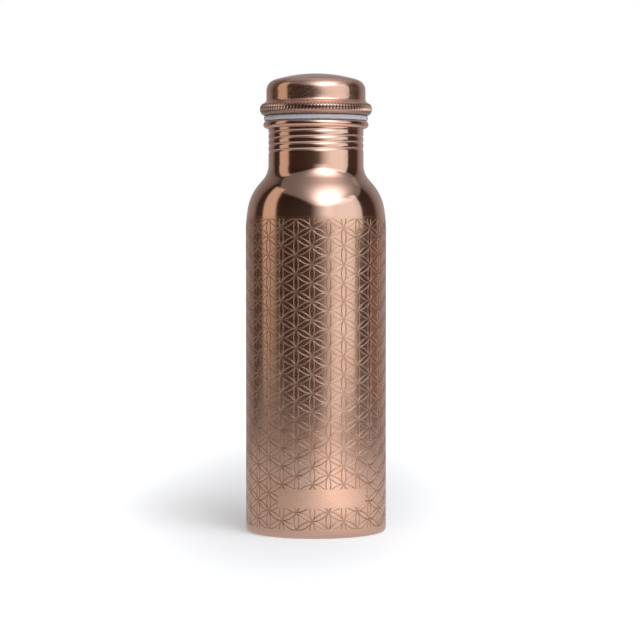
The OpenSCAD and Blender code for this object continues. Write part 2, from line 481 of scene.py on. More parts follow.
def rotated(points, degrees, centre=(0, 0)):
    """The x and y of points turned about centre, with any further columns kept."""
    a = np.radians(degrees)
    out = np.array(points, float)
    x, y = out[..., 0] - centre[0], out[..., 1] - centre[1]
    out[..., 0] = centre[0] + x * np.cos(a) - y * np.sin(a)
    out[..., 1] = centre[1] + x * np.sin(a) + y * np.cos(a)
    return out


def strip(a, b):
    """Triangles between two lines of points."""
    first = np.stack([a[:-1], b[:-1], b[1:]], axis=1)
    second = np.stack([a[:-1], b[1:], a[1:]], axis=1)
    return np.concatenate([first, second])


def fan(centre, ring):
    """Triangles from a centre to a line of points."""
    middle = np.broadcast_to(centre, ring[:-1].shape)
    return np.stack([middle, ring[:-1], ring[1:]], axis=1)


def circle_side(radius, half_angle, etch):
    """A stretch of an arc about the pattern's centre to the left, as (x, y, etch) from low to high."""
    t = np.linspace(-1, 1, ARC_STEPS + 1) * half_angle
    x, y = radius * np.cos(t) - HALF_ROW, 0.5 + radius * np.sin(t)
    return np.column_stack([x, y, np.full(len(t), etch)])


def petal_side(inset, etch):
    """The right side of the petal between two neighbours one above the other, moved in by inset."""
    return circle_side(1 - inset, np.arccos(HALF_ROW / (1 - inset)), etch)


def field_side(inset, etch):
    """The left side of the three-sided field next to that petal, moved in by inset."""
    return circle_side(1 + inset, np.pi / 6 - np.arccos(1 / (1 + inset)), etch)


def lattice_cell():
    """Triangles of one cell of the pattern as (x, y, etch) corners.

    The pattern's circles have a radius of 1 and their centres are 1 apart. Etch is 0 on the polished
    surface and 1 on a groove's floor.
    """
    least_area = 1e-7
    rim = GROOVE_W / 2 / PITCH
    floor = rim - GROOVE_WALL / PITCH
    mirror = np.array([-1, 1, 1])
    petal_rim, petal_floor = petal_side(rim, 0), petal_side(floor, 1)
    field_rim, field_floor = field_side(rim, 0), field_side(floor, 1)
    petal = np.concatenate([
        strip(petal_rim * mirror, petal_rim),
        strip(petal_rim, petal_floor),
        strip(petal_floor * mirror, petal_rim * mirror),
        strip(petal_floor, field_floor),
        strip(field_floor * mirror, petal_floor * mirror),
    ])
    middle = np.array([HALF_ROW / 3, 0.5, 0])
    side = np.concatenate([fan(middle, field_rim), strip(field_floor, field_rim)])
    field = np.concatenate([rotated(side, -120 * k, middle) for k in range(3)])
    hub_ring = np.stack([field_floor[0], petal_floor[0], field_floor[0] * mirror])
    hub = fan(np.array([0, 0, 1]), hub_ring)
    parts = [rotated(petal, -60 * k) for k in range(3)]
    parts += [rotated(field, -60 * k) for k in range(2)]
    parts += [rotated(hub, 60 * k) for k in range(6)]
    cell = np.concatenate(parts)
    u, v = cell[:, 1, :2] - cell[:, 0, :2], cell[:, 2, :2] - cell[:, 0, :2]
    area = u[:, 0] * v[:, 1] - u[:, 1] * v[:, 0]
    cell[area < 0] = cell[area < 0][:, ::-1]
    return cell[np.abs(area) > least_area]


def lattice_soup():
    """Triangles as (front, height, etch) corners, over the whole barrel and more rows than it shows."""
    cell = lattice_cell()
    column, row = np.meshgrid(np.arange(COLUMNS), np.arange(-1, PATTERN_ROWS + 2), indexing="ij")
    x = cell[None, :, :, 0] + column.reshape(-1, 1, 1) * HALF_ROW
    y = cell[None, :, :, 1] + (row + 0.5 * (column % 2 == 0)).reshape(-1, 1, 1)
    front = FIRST_COLUMN_FRONT + COLUMN_DEG * x / HALF_ROW
    z = PATTERN_LOW + PITCH * y
    etch = np.broadcast_to(cell[None, :, :, 2], z.shape)
    soup = np.stack([front % 360, z, etch], axis=-1).reshape(-1, 3, 3)
    kept = (soup[..., 1].max(1) > TRIM_LOW - SAME_MM) & (soup[..., 1].min(1) < TRIM_HIGH + SAME_MM)
    return soup[kept]


def welded(soup):
    """One point for each place in a triangle soup, and the triangles by index."""
    same_deg, same_mm = 1e-3, 1e-4
    flat = soup.reshape(-1, 3)
    keys = np.round(flat / [same_deg, same_mm, 1]).astype(np.int64)
    keys[:, 0] %= round(360 / same_deg)
    _, first, index = np.unique(keys, axis=0, return_index=True, return_inverse=True)
    return flat[first], index.reshape(-1, 3)


def cut(bm, faces, point, normal, drop=False):
    """Cuts the given faces along a plane, and drops what lies past it if asked."""
    snap = 1e-4
    geometry = set(faces)
    for f in faces:
        geometry.update(f.edges)
        geometry.update(f.verts)
    bmesh.ops.bisect_plane(
        bm, geom=list(geometry), dist=snap, plane_co=point, plane_no=normal, clear_outer=drop
    )


def height_cut(bm, z, drop=0):
    """Cuts the whole barrel at a height, and drops the part above (1) or below (-1)."""
    band = [f for f in bm.faces if min(v.co.z for v in f.verts) < z < max(v.co.z for v in f.verts)]
    if drop:
        crossing = set(band)
        past = [f for f in bm.faces if drop * (f.calc_center_median().z - z) > 0]
        bmesh.ops.delete(bm, geom=[f for f in past if f not in crossing], context="FACES")
    cut(bm, band, (0, 0, z), (0, 0, drop or 1), bool(drop))


def front_to_turn(front):
    """An angle from the front as an angle from the +X axis."""
    return front - 90


def panel_faces(bm):
    """Faces on or near the blank panel."""
    chosen = []
    for f in bm.faces:
        c = f.calc_center_median()
        if PANEL_LOW - PANEL_REACH < c.z < PANEL_HIGH + PANEL_REACH:
            front = np.degrees(np.arctan2(c.x, -c.y))
            if PANEL_LEFT - PANEL_REACH < front < PANEL_RIGHT + PANEL_REACH:
                chosen.append(f)
    return chosen


def panel_cuts(bm):
    """Cuts along the blank panel's four edges and along the grooves' end walls outside them."""
    for z in (PANEL_LOW, PANEL_LOW - GROOVE_WALL, PANEL_HIGH, PANEL_HIGH + GROOVE_WALL):
        cut(bm, panel_faces(bm), (0, 0, z), (0, 0, 1))
    for front in (PANEL_LEFT, PANEL_LEFT - WALL_DEG, PANEL_RIGHT, PANEL_RIGHT + WALL_DEG):
        a = np.radians(front_to_turn(front))
        cut(bm, panel_faces(bm), (0, 0, 0), (-np.sin(a), np.cos(a), 0))


def engraved_share(front, z):
    """1 where grooves have their full depth, 0 at and past the pattern's edges and on the blank panel."""
    in_height = (z > PATTERN_LOW + GROOVE_WALL - SAME_MM) & (z < PATTERN_HIGH - GROOVE_WALL + SAME_MM)
    off_panel = (
        (z < PANEL_LOW - GROOVE_WALL + SAME_MM)
        | (z > PANEL_HIGH + GROOVE_WALL - SAME_MM)
        | (front < PANEL_LEFT - WALL_DEG + SAME_MM)
        | (front > PANEL_RIGHT + WALL_DEG - SAME_MM)
    )
    return (in_height & off_panel).astype(float)


def etched_barrel():
    """The barrel's outside with its grooves: points, triangles and each triangle's kind."""
    places, triangles = welded(lattice_soup())
    a = np.radians(front_to_turn(places[:, 0]))
    bm = bmesh.new()
    etch_layer = bm.verts.layers.float.new("etch")
    for x, y, z, etch in zip(BODY_R * np.cos(a), BODY_R * np.sin(a), places[:, 1], places[:, 2]):
        bm.verts.new((x, y, z))[etch_layer] = etch
    bm.verts.ensure_lookup_table()
    for t in triangles.tolist():
        bm.faces.new([bm.verts[i] for i in t])
    height_cut(bm, TRIM_LOW, -1)
    height_cut(bm, TRIM_HIGH, 1)
    for z in (PATTERN_LOW, PATTERN_LOW + GROOVE_WALL, PATTERN_HIGH, PATTERN_HIGH - GROOVE_WALL):
        height_cut(bm, z)
    panel_cuts(bm)
    bmesh.ops.triangulate(bm, faces=bm.faces)
    bm.verts.index_update()
    points = np.array([v.co for v in bm.verts])
    etch = np.array([v[etch_layer] for v in bm.verts])
    faces = np.array([[v.index for v in f.verts] for f in bm.faces])
    bm.free()
    front = np.degrees(np.arctan2(points[:, 0], -points[:, 1]))
    share = etch * engraved_share(front, points[:, 2])
    turn = np.radians(front_to_turn(front))
    r = barrel_radius(points[:, 2]) - GROOVE_DEPTH * share
    points = np.column_stack([r * np.cos(turn), r * np.sin(turn), points[:, 2]])
    depth = share[faces]
    nearly = 0.01
    flat, floor = depth.max(1) < nearly, depth.min(1) > 1 - nearly
    kind = np.where(flat, FLAT, np.where(floor, FLOOR, GROOVE_SIDE))
    return points, faces, kind


def border(points, z):
    """Indices of the points at a height, in order round the axis."""
    at = np.flatnonzero(np.abs(points[:, 2] - z) < SAME_MM)
    return at[np.argsort(np.degrees(np.arctan2(points[at, 1], points[at, 0])) % 360)]


def stitched(points, ring_a, ring_b):
    """Triangles between two rings of points that go round the axis with different counts."""
    turn = [np.degrees(np.arctan2(points[r, 1], points[r, 0])) % 360 for r in (ring_a, ring_b)]
    i = j = 0
    faces = []
    while i < len(ring_a) or j < len(ring_b):
        next_a = turn[0][i + 1] if i + 1 < len(ring_a) else 360 + turn[0][0]
        next_b = turn[1][j + 1] if j + 1 < len(ring_b) else 360 + turn[1][0]
        here_a, here_b = ring_a[i % len(ring_a)], ring_b[j % len(ring_b)]
        if j >= len(ring_b) or (i < len(ring_a) and next_a <= next_b):
            faces.append((here_a, ring_a[(i + 1) % len(ring_a)], here_b))
            i += 1
        else:
            faces.append((here_a, ring_b[(j + 1) % len(ring_b)], here_b))
            j += 1
    return np.array(faces)


def make_bottle():
    """The whole drawn shell as one closed mesh, and the kind of each of its faces."""
    columns = BOTTLE_COLUMNS
    barrel, barrel_faces, barrel_kinds = etched_barrel()
    r, z, turn = turned(shell_outline(), columns)
    in_thread = (z > THREAD_ZONE[0] - SAME_MM) & (z < THREAD_ZONE[1] + SAME_MM)
    outer = in_thread & (np.abs(r - NECK_R) < SAME_MM)
    inner = in_thread & (np.abs(r - BORE_R) < SAME_MM)
    r = r + np.where(outer, crease_relief(turn, z), 0)
    r = r - np.where(inner, ridge_relief(turn, z, THREAD_BOTTOM, THREAD_TURNS), 0)
    shell = to_points(r, z, turn)
    rows = len(shell)
    points = np.concatenate([barrel, shell.reshape(-1, 3)])
    first = len(barrel)
    top_ring = first + np.arange(columns)
    low_ring = first + (rows - 1) * columns + np.arange(columns)
    shell_faces = grid_faces(rows, columns, first)
    top_faces = stitched(points, border(barrel, TRIM_HIGH), top_ring)
    low_faces = stitched(points, border(barrel, TRIM_LOW), low_ring)
    faces = [f for part in (barrel_faces, top_faces, low_faces[:, ::-1], shell_faces) for f in part.tolist()]
    seam_kinds = np.full(len(top_faces) + len(low_faces), FLAT)
    kinds = np.concatenate([barrel_kinds, seam_kinds, np.full(len(shell_faces), TURNED)])
    obj = new_object("engraved_bottle", points, faces)
    obj.data.set_sharp_from_angle(angle=np.radians(SHELL_SHARP))
    sharpen_rims(obj.data, kinds)
    bottle_normals(obj.data, points, kinds)
    return obj, kinds


def read_values(items, name, kind=int, width=1):
    """One value, or a row of them, from each item of one of a mesh's collections."""
    values = np.zeros(len(items) * width, kind)
    items.foreach_get(name, values)
    return values.reshape(-1, width) if width > 1 else values


def sharpen_rims(mesh, kinds):
    """Keeps the edges between polished fields and grooves sharp, so that only the grooves look rounded."""
    edge_of = read_values(mesh.loops, "edge_index")
    sizes = read_values(mesh.polygons, "loop_total")
    grooved = np.repeat((kinds == GROOVE_SIDE) | (kinds == FLOOR), sizes)
    count = np.bincount(edge_of, weights=grooved, minlength=len(mesh.edges))
    sharp = mesh.attributes.get("sharp_edge") or mesh.attributes.new("sharp_edge", "BOOLEAN", "EDGE")
    sharp.data.foreach_set("value", read_values(sharp.data, "value", bool) | (count == 1))


def bottle_normals(mesh, points, kinds):
    """Exact normals on the barrel's polished fields, so that no reflection shows the triangles."""
    normals = read_values(mesh.corner_normals, "vector", float, 3)
    corner = read_values(mesh.loops, "vertex_index")
    exact = np.repeat(kinds == FLAT, read_values(mesh.polygons, "loop_total"))
    normals[exact] = barrel_normal(points[corner[exact]])
    mesh.normals_split_custom_set(normals.tolist())


# ---------------------------------------------------------------- the cap


def knurl(outline):
    """How far each row leans round the axis and how deep its notches are, for two slanted rows."""
    z = outline[:, 1]
    on_bead = outline[:, 0] > LID_R + KNURL_OFF_WALL
    half = np.where(z > KNURL_SPINE, KNURL_TOP - KNURL_SPINE, KNURL_SPINE - KNURL_LOW)
    share = np.clip(1 - np.abs(z - KNURL_SPINE) / half, 0, 1) * on_bead
    lean = KNURL_SLANT * share * 360 / KNURL_TEETH
    spine = 1 - KNURL_SPINE_RISE * np.exp(-((z - KNURL_SPINE) / KNURL_SPINE_W) ** 2)
    return lean, smooth(share / KNURL_END) * spine * on_bead


def make_lid():
    """The domed lid with its knurled bead, hollow inside. Its materials are the dome's copper, the bead's
    darker copper as painted shade, and near-black copper as painted shade in the deep notches.
    """
    outside, inside = lid_outline()
    rows = knurl_rows(outside)
    lean, depth = knurl(rows)
    columns = KNURL_TEETH * len(KNURL_PROFILE)
    r, z, turn = turned(rows, columns, lean)
    notch = np.tile(KNURL_PROFILE, KNURL_TEETH)
    along = np.gradient(rows, axis=0)
    along /= np.linalg.norm(along, axis=1)[:, None]
    relief = KNURL_DEPTH * depth[:, None] * notch
    r = r + relief * along[:, 1, None]
    z = z - relief * along[:, 0, None]
    outer = to_points(r, z, turn)
    inner = to_points(*turned(inside, columns))
    points = np.concatenate([outer, inner]).reshape(-1, 3)
    faces = grid_faces(len(rows) + len(inside), columns)
    lid = new_object("knurled_lid", points, faces)
    finish_and_shade = np.zeros(len(faces), np.int32)
    outside_faces = faces[: (len(rows) - 1) * columns]
    # The bead's faces get darker copper as painted shade.
    on_bead = np.repeat(rows[:, 1] < BEAD_SHADE_AND_FINISH_TOP, columns)
    # Deep notch faces get the near-black copper that paints their shade.
    deep = (relief > KNURL_SHADE_DEPTH * KNURL_DEPTH).ravel()
    finish_and_shade[: len(outside_faces)] = on_bead[outside_faces].all(1)
    finish_and_shade[: len(outside_faces)] += deep[outside_faces].sum(1) >= KNURL_SHADE_CORNERS
    lid.data.polygons.foreach_set("material_index", finish_and_shade)
    return clean(lid)


def knurl_rows(outside):
    """The outline with evenly close rows where the knurling is."""
    lower_c, upper_c, _, bead_join, *_ = lid_arcs()
    above = outside[outside[:, 1] > KNURL_TOP + KNURL_CLEAR]
    below = outside[outside[:, 1] < KNURL_LOW - KNURL_CLEAR]
    top = min(angle_at_height(upper_c, BEAD_UPPER_R, KNURL_TOP), bead_join)
    low = angle_at_height(lower_c, BEAD_LOWER_R, KNURL_LOW)
    zone = joined(arc(upper_c, BEAD_UPPER_R, top, 0, 12), arc(lower_c, BEAD_LOWER_R, 0, low, 4))
    return joined(above, zone, below)


def make_plug():
    """The threaded cup under the lid."""
    outline = plug_outline()
    r, z, turn = turned(outline, PLUG_COLUMNS)
    threaded = np.abs(outline[:, 0] - PLUG_ROOT_R) < SAME_MM
    ridge = ridge_relief(turn, z, THREAD_BOTTOM + THREAD_PITCH / 2, PLUG_TURNS)
    r = r + np.where(threaded[:, None], ridge, 0)
    points = to_points(r, z, turn).reshape(-1, 3)
    return clean(new_object("threaded_plug", points, grid_faces(len(outline), PLUG_COLUMNS)))


def make_ring(name, outline, closed):
    """A plain turned piece, its outline closed or running from the axis back to the axis."""
    points = to_points(*turned(outline, RING_COLUMNS)).reshape(-1, 3)
    return clean(new_object(name, points, grid_faces(len(outline), RING_COLUMNS, closed=closed)))


# ---------------------------------------------------------------- materials

CLOUD_SCALE = 38
CLOUD_CLEAR, CLOUD_FULL = 0.35, 0.72
SMOOTHEST, ROUGHEST = 0.7, 1.3
BRUSH_SCALE = (25, 25, 5200)
BRUSH_HEIGHT = 0.00004
WIPE_SCALE = (160, 160, 900)
WIPE_TURN = (0.5, 0.2, 0)
HAZE_SCALE = 5000
HAZE_CLEAR, HAZE_FULL = 0.55, 0.61
PIT_SCALE = 9000
PIT_HEIGHT = 0.00005
DUST_SCALE = 420


class Nodes:
    """A small helper that adds nodes to one material, light or world."""

    def __init__(self, tree):
        self.tree = tree
        tree.nodes.clear()

    def add(self, kind, inputs=None, **settings):
        """A new node with its settings, and with values or other nodes' sockets on its inputs."""
        node = self.tree.nodes.new(kind)
        for key, value in settings.items():
            setattr(node, key, value)
        for key, value in (inputs or {}).items():
            if isinstance(value, bpy.types.NodeSocket):
                self.tree.links.new(value, node.inputs[key])
            else:
                node.inputs[key].default_value = value
        return node

    def noise(self, place, scale, detail, roughness=0.5):
        """Cloudy noise from 0 to 1 at a place."""
        inputs = {"Vector": place, "Scale": scale, "Detail": detail, "Roughness": roughness}
        return self.add("ShaderNodeTexNoise", inputs).outputs["Fac"]

    def ranged(self, value, start, end, low=0.0, high=1.0, eased=False):
        """The value, carried over from the range start to end to the range low to high."""
        inputs = {"Value": value, "From Min": start, "From Max": end, "To Min": low, "To Max": high}
        kind = "SMOOTHSTEP" if eased else "LINEAR"
        return self.add("ShaderNodeMapRange", inputs, interpolation_type=kind).outputs["Result"]

    def math(self, operation, *values):
        """One step of arithmetic on numbers and sockets."""
        return self.add("ShaderNodeMath", dict(enumerate(values)), operation=operation).outputs["Value"]

    def vector_math(self, operation, *values, out="Vector"):
        """One step of arithmetic on vectors, whose result is a vector, or a number if out is Value."""
        return self.add("ShaderNodeVectorMath", dict(enumerate(values)), operation=operation).outputs[out]


def new_material(name):
    """An empty material and its nodes."""
    material = bpy.data.materials.new(name)
    material.use_nodes = True
    return material, Nodes(material.node_tree)


def copper(
    name, light, dark, rough, rough_spread=0.03, brush=0.2, anisotropy=0.3, grain=0.0, haze=0.0
):
    """Copper with brush lines round the axis, faint tarnish clouds and fine wipe marks.

    Light and dark are its clean and its tarnished colour. Grain is the strength of an etched surface's
    pits, and haze is how much rougher the small scuffed specks are.
    """
    material, n = new_material(name)
    place = n.add("ShaderNodeTexCoord").outputs["Object"]
    cloud = n.noise(place, CLOUD_SCALE, detail=4, roughness=0.6)
    tarnish = n.ranged(cloud, CLOUD_CLEAR, CLOUD_FULL)
    colour = n.add(
        "ShaderNodeMix",
        {"Factor": tarnish, "A": (*light, 1), "B": (*dark, 1)},
        data_type="RGBA",
    )
    brushed = n.add("ShaderNodeMapping", {"Vector": place, "Scale": BRUSH_SCALE})
    lines = n.noise(brushed.outputs["Vector"], scale=1, detail=3)
    wiped = n.add("ShaderNodeMapping", {"Vector": place, "Scale": WIPE_SCALE, "Rotation": WIPE_TURN})
    wipe = n.noise(wiped.outputs["Vector"], scale=1, detail=5)
    uneven = n.math("ADD", lines, cloud)
    roughness = n.ranged(uneven, SMOOTHEST, ROUGHEST, rough - rough_spread, rough + rough_spread)
    if haze:
        specks = n.noise(place, HAZE_SCALE, detail=0)
        roughness = n.math("ADD", roughness, n.ranged(specks, HAZE_CLEAR, HAZE_FULL, 0, haze))
    marks = n.math("ADD", lines, wipe)
    bump = n.add("ShaderNodeBump", {"Height": marks, "Strength": brush, "Distance": BRUSH_HEIGHT})
    normal = bump.outputs["Normal"]
    if grain:
        pits = n.noise(place, PIT_SCALE, detail=2)
        pitted = {"Height": pits, "Strength": grain, "Distance": PIT_HEIGHT, "Normal": normal}
        normal = n.add("ShaderNodeBump", pitted).outputs["Normal"]
    tangent = n.add("ShaderNodeTangent", direction_type="RADIAL", axis="Z")
    shader = n.add(
        "ShaderNodeBsdfPrincipled",
        {
            "Base Color": colour.outputs["Result"],
            "Metallic": 1.0,
            "Roughness": roughness,
            "Anisotropic": anisotropy,
            "Normal": normal,
            "Tangent": tangent.outputs["Tangent"],
        },
    )
    n.add("ShaderNodeOutputMaterial", {"Surface": shader.outputs["BSDF"]})
    return material


def silicone():
    """Soft translucent white silicone with a faint dusty bloom, its base colour greyed as painted shade."""
    material, n = new_material("white_silicone")
    place = n.add("ShaderNodeTexCoord").outputs["Object"]
    dust = n.noise(place, DUST_SCALE, detail=4)
    bump = n.add("ShaderNodeBump", {"Height": dust, "Strength": 0.12, "Distance": PIT_HEIGHT})
    shader = n.add(
        "ShaderNodeBsdfPrincipled",
        {
            # Grey rather than white: painted shade on the silicone in its gap under the lid.
            "Base Color": (0.38, 0.37, 0.405, 1),
            "Roughness": n.ranged(dust, 0, 1, 0.34, 0.5),
            "Subsurface Weight": 0.6,
            "Subsurface Radius": (0.9, 0.9, 1.0),
            "Subsurface Scale": 0.0012,
            "IOR": 1.41,
            "Normal": bump.outputs["Normal"],
        },
    )
    n.add("ShaderNodeOutputMaterial", {"Surface": shader.outputs["BSDF"]})
    return material


# ---------------------------------------------------------------- the studio, in metres

# The floor that the camera sees glows more the farther it is from the bottle, so its dimmer glow round the
# bottle is a painted shadow. Its distance is measured after scaling and shifting, so that this painted
# shadow round the bottle is long to the back and short sideways.
FLOOR_REACH = 8
FLOOR_SCALE = (2.6, 0.62, 1)
FLOOR_SHIFT = (0.02, -0.025, 0)
FLOOR_FADE = (0.03, 0.5)
FLOOR_GLOW = 0.30
FLOOR_GLOW_FAR = 1.05

# The lit table top that only reflections see: a wide base, a bright spot in front to the right, and a
# painted shadow where the bottle stands.
TABLE_X = (-1.6, 1.6)
TABLE_Y = (-0.62, 0.3)
TABLE_Z = -0.0002
TABLE_FADE = (0.3, 0.8)
TABLE_GLOW = 0.42
TABLE_GLOW_FAR = 0.14
TABLE_SPOT = (0.14, -0.28, 0)
TABLE_SPOT_R = (0.18, 0.29, 1.0)
TABLE_SPOT_GLOW = 0.84
# A painted contact shadow: between these two distances from the axis the table's glow rises from the share
# below to full.
CONTACT_FADE = (0.035, 0.17)
CONTACT_PAINTED_SHADOW = 0.8

# The panel overhead: an ellipse cut off along a slanted line, with a hot spot.
PANEL_MIDDLE = (0.19, -0.50, 0.80)
PANEL_SIZE = (1.75, 2.05)
PANEL_GLOW = 0.12
PANEL_CUT = (0.915, 0.403, 0)
PANEL_CUT_AT = -0.655
PANEL_CUT_SOFT = 0.05
HOT_SPOT = (0.31, -0.72, 0.80)
HOT_SPOT_R = (0.32, 0.50, 1.0)
HOT_SPOT_GLOW = 2.6

# The room's colour by the share of a turn, from behind the bottle by its left and its front to its
# right and back behind it. It dims upward between two heights of view.
ROOM = (
    (0.00, (0.42, 0.40, 0.41)),
    (0.08, (0.31, 0.29, 0.29)),
    (0.145, (0.225, 0.195, 0.185)),
    (0.172, (0.042, 0.027, 0.023)),
    (0.26, (0.038, 0.024, 0.019)),
    (0.34, (0.036, 0.023, 0.018)),
    (0.42, (0.044, 0.030, 0.024)),
    (0.50, (0.068, 0.050, 0.042)),
    (0.60, (0.068, 0.050, 0.042)),
    (0.74, (0.052, 0.034, 0.027)),
    (0.822, (0.055, 0.033, 0.026)),
    (0.85, (0.24, 0.205, 0.195)),
    (0.90, (0.37, 0.345, 0.345)),
    (1.00, (0.42, 0.40, 0.41)),
)
ROOM_RISE = (0.02, 0.8)
ROOM_TOP = 0.6

# The camera looks down by CAMERA_DOWN and is turned by CAMERA_TURN, in degrees.
CAMERA_LENS = 130
CAMERA_SENSOR = 36
CAMERA_PLACE = (0, -1.155, 0.1495)
CAMERA_DOWN = 2.18
CAMERA_TURN = -0.1


def glow_at(n, place, centre, reach, glow, base):
    """A value that is base + glow at centre and falls to base like a bell curve, with the given reach."""
    off = n.vector_math("SUBTRACT", place, centre)
    scaled = n.vector_math("MULTIPLY", off, [1 / r for r in reach])
    square = n.vector_math("DOT_PRODUCT", scaled, scaled, out="Value")
    bell = n.math("EXPONENT", n.math("MULTIPLY", square, -1.0))
    return n.math("MULTIPLY_ADD", bell, glow, base)


def emit(n, output, colour, strength):
    """Ends a material's or a light's nodes in a plain glow."""
    glow = n.add("ShaderNodeEmission", {"Color": (*colour, 1), "Strength": strength})
    n.add(output, {"Surface": glow.outputs["Emission"]})


def floor_with_painted_shade():
    """The plain pale floor, lit from within like a light table, its glow dimmed round the bottle as a
    painted shadow.
    """
    material, n = new_material("floor_white")
    place = n.add("ShaderNodeNewGeometry").outputs["Position"]
    scaled = n.vector_math("MULTIPLY_ADD", place, FLOOR_SCALE, FLOOR_SHIFT)
    off = n.vector_math("LENGTH", scaled, out="Value")
    shader = n.add(
        "ShaderNodeBsdfPrincipled",
        {
            "Base Color": (0.83, 0.86, 0.895, 1),
            "Roughness": 0.8,
            "Specular IOR Level": 0.0,
            "Emission Color": (0.985, 1, 1.01, 1),
            # Weaker glow near the bottle: a painted shadow on the floor.
            "Emission Strength": n.ranged(off, *FLOOR_FADE, FLOOR_GLOW, FLOOR_GLOW_FAR, eased=True),
        },
    )
    n.add("ShaderNodeOutputMaterial", {"Surface": shader.outputs["BSDF"]})
    return material


def table_glow():
    """Light on the table top round the bottle, with a painted shadow that dims it where the bottle stands.
    """
    material, n = new_material("table_glow")
    place = n.add("ShaderNodeNewGeometry").outputs["Position"]
    off = n.vector_math("LENGTH", place, out="Value")
    base = n.ranged(off, *TABLE_FADE, TABLE_GLOW, TABLE_GLOW_FAR, eased=True)
    glow = glow_at(n, place, TABLE_SPOT, TABLE_SPOT_R, TABLE_SPOT_GLOW, base)
    # Painted contact shadow round the bottle.
    painted_contact_shadow = n.ranged(off, *CONTACT_FADE, CONTACT_PAINTED_SHADOW, 1.0)
    emit(n, "ShaderNodeOutputMaterial", (1.0, 0.965, 0.975), n.math("MULTIPLY", glow, painted_contact_shadow))
    return material


def plane(name, xs, ys, z):
    """A flat rectangle between two x and two y."""
    mesh = bpy.data.meshes.new(name)
    corners = [(xs[0], ys[0], z), (xs[1], ys[0], z), (xs[1], ys[1], z), (xs[0], ys[1], z)]
    mesh.from_pydata(corners, [], [(0, 1, 2, 3)])
    obj = bpy.data.objects.new(name, mesh)
    bpy.context.scene.collection.objects.link(obj)
    return obj


def make_floor():
    """The pale floor that the camera sees, and the lit table top that the bottle reflects."""
    floor = plane("floor", (-FLOOR_REACH, FLOOR_REACH), (-FLOOR_REACH, FLOOR_REACH), 0)
    floor.data.materials.append(floor_with_painted_shade())
    floor.visible_glossy = False
    table = plane("table_glow", TABLE_X, TABLE_Y, TABLE_Z)
    table.data.materials.append(table_glow())
    table.visible_camera = False
    table.visible_diffuse = False
    table.visible_shadow = False


def studio_world():
    """The room round the bottle: pale behind it, dark in front; the camera itself sees only white."""
    world = bpy.data.worlds.new("studio")
    world.use_nodes = True
    bpy.context.scene.world = world
    n = Nodes(world.node_tree)
    place = n.add("ShaderNodeTexCoord").outputs["Generated"]
    parts = n.add("ShaderNodeSeparateXYZ", {0: place}).outputs
    turn = n.math("ARCTAN2", parts["X"], n.math("MULTIPLY", parts["Y"], -1.0))
    ramp = n.add("ShaderNodeValToRGB", {"Fac": n.ranged(turn, -np.pi, np.pi)})
    elements = ramp.color_ramp.elements
    while len(elements) < len(ROOM):
        elements.new(0.5)
    for element, (position, colour) in zip(elements, ROOM):
        element.position = position
        element.color = (*colour, 1)
    rise = n.ranged(parts["Z"], *ROOM_RISE, 1.0, ROOM_TOP, eased=True)
    path = n.add("ShaderNodeLightPath")
    seen = n.add("ShaderNodeBackground", {"Color": (1, 1, 1, 1), "Strength": 1.0})
    lit = n.add("ShaderNodeBackground", {"Color": ramp.outputs["Color"], "Strength": rise})
    mix = n.add(
        "ShaderNodeMixShader",
        {0: path.outputs["Is Camera Ray"], 1: lit.outputs["Background"], 2: seen.outputs["Background"]},
    )
    n.add("ShaderNodeOutputWorld", {"Surface": mix.outputs["Shader"]})


def area_light(name, shape, width, height, radiance):
    """An area light that the camera doesn't see, and its empty nodes."""
    data = bpy.data.lights.new(name, "AREA")
    data.shape = shape
    data.size, data.size_y = width, height
    data.energy = radiance * np.pi * width * height
    data.use_nodes = True
    obj = bpy.data.objects.new(name, data)
    obj.visible_camera = False
    bpy.context.scene.collection.objects.link(obj)
    return obj, Nodes(data.node_tree)


def softbox(
    name, azimuths, heights, radiance, feather, distance=1.0, colour=(1, 1, 1), tilt=0, lean=0, seen=True
):
    """An upright softbox between two azimuths and two heights, at a distance from the bottle's axis.

    Azimuth is from the camera's side, + to the right. Feather is the share of the width over which the
    light fades at its left and right sides, then of the height at its top and its bottom. Tilt makes it
    look down, lean turns it in its own plane, and seen is whether reflections show it.
    """
    middle, half = np.radians(np.mean(azimuths)), np.radians(np.ptp(azimuths)) / 2
    width, height = 2 * distance * np.tan(half), heights[1] - heights[0]
    box, n = area_light(name, "RECTANGLE", width, height, radiance)
    place = n.add("ShaderNodeNewGeometry").outputs["Parametric"]
    parts = n.add("ShaderNodeSeparateXYZ", {0: place}).outputs
    fade = 1.0
    for (axis, at), edge in zip((("X", 0), ("X", 1), ("Y", 1), ("Y", 0)), feather):
        inward = 1 - 2 * at
        fade = n.math("MULTIPLY", n.ranged(parts[axis], at, at + edge * inward, eased=True), fade)
    emit(n, "ShaderNodeOutputLight", colour, fade)
    across = Vector((np.sin(middle), -np.cos(middle), 0))
    away = across * np.cos(np.radians(tilt)) + Vector((0, 0, np.sin(np.radians(tilt))))
    box.location = distance * across + Vector((0, 0, np.mean(heights)))
    box.rotation_mode = "QUATERNION"
    box.rotation_quaternion = away.to_track_quat("Z", "Y") @ Quaternion((0, 0, 1), np.radians(lean))
    box.visible_glossy = seen


def overhead_panel():
    """A wide soft panel above the bottle, brightest in front of it and a little to its right."""
    panel, n = area_light("overhead_panel", "ELLIPSE", *PANEL_SIZE, radiance=1)
    panel.location = PANEL_MIDDLE
    place = n.add("ShaderNodeNewGeometry").outputs["Position"]
    glow = glow_at(n, place, HOT_SPOT, HOT_SPOT_R, HOT_SPOT_GLOW, PANEL_GLOW)
    across = n.vector_math("DOT_PRODUCT", place, PANEL_CUT, out="Value")
    inside = n.ranged(across, PANEL_CUT_AT - PANEL_CUT_SOFT, PANEL_CUT_AT + PANEL_CUT_SOFT, eased=True)
    emit(n, "ShaderNodeOutputLight", (0.98, 0.98, 1.0), n.math("MULTIPLY", glow, inside))


